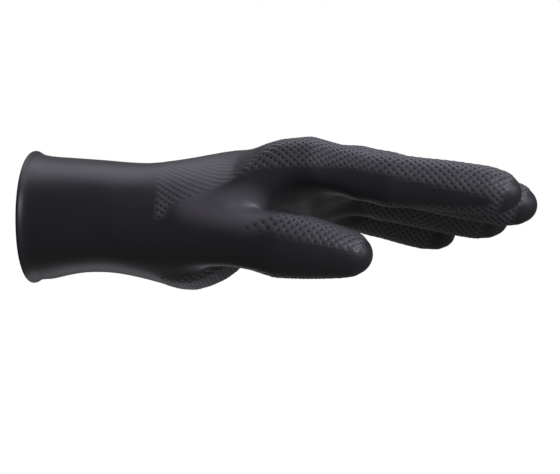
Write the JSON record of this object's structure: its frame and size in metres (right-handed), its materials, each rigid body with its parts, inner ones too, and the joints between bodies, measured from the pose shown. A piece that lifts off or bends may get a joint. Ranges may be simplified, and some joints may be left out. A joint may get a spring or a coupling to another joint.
{
  "type": "nitrile exam glove",
  "caption": "Hollow left-hand nitrile exam glove in its worn form, with raised diamond grip texture, smooth cuff and rolled rim bead.",
  "frame": {"origin": "middle of the wrist, where the wearer's wrist sits inside the film", "axes": "+X from the wrist to the fingertips, +Y to the little finger's side, +Z to the back of the hand; the cuff opens at -X"},
  "size_m": [0.2362, 0.101, 0.0725],
  "materials": {
    "nitrile": "dipped black nitrile film, satin, raised diamond grip texture"
  },
  "bodies": {
    "root": {"glove": "nitrile"}
  },
  "joints": []
}
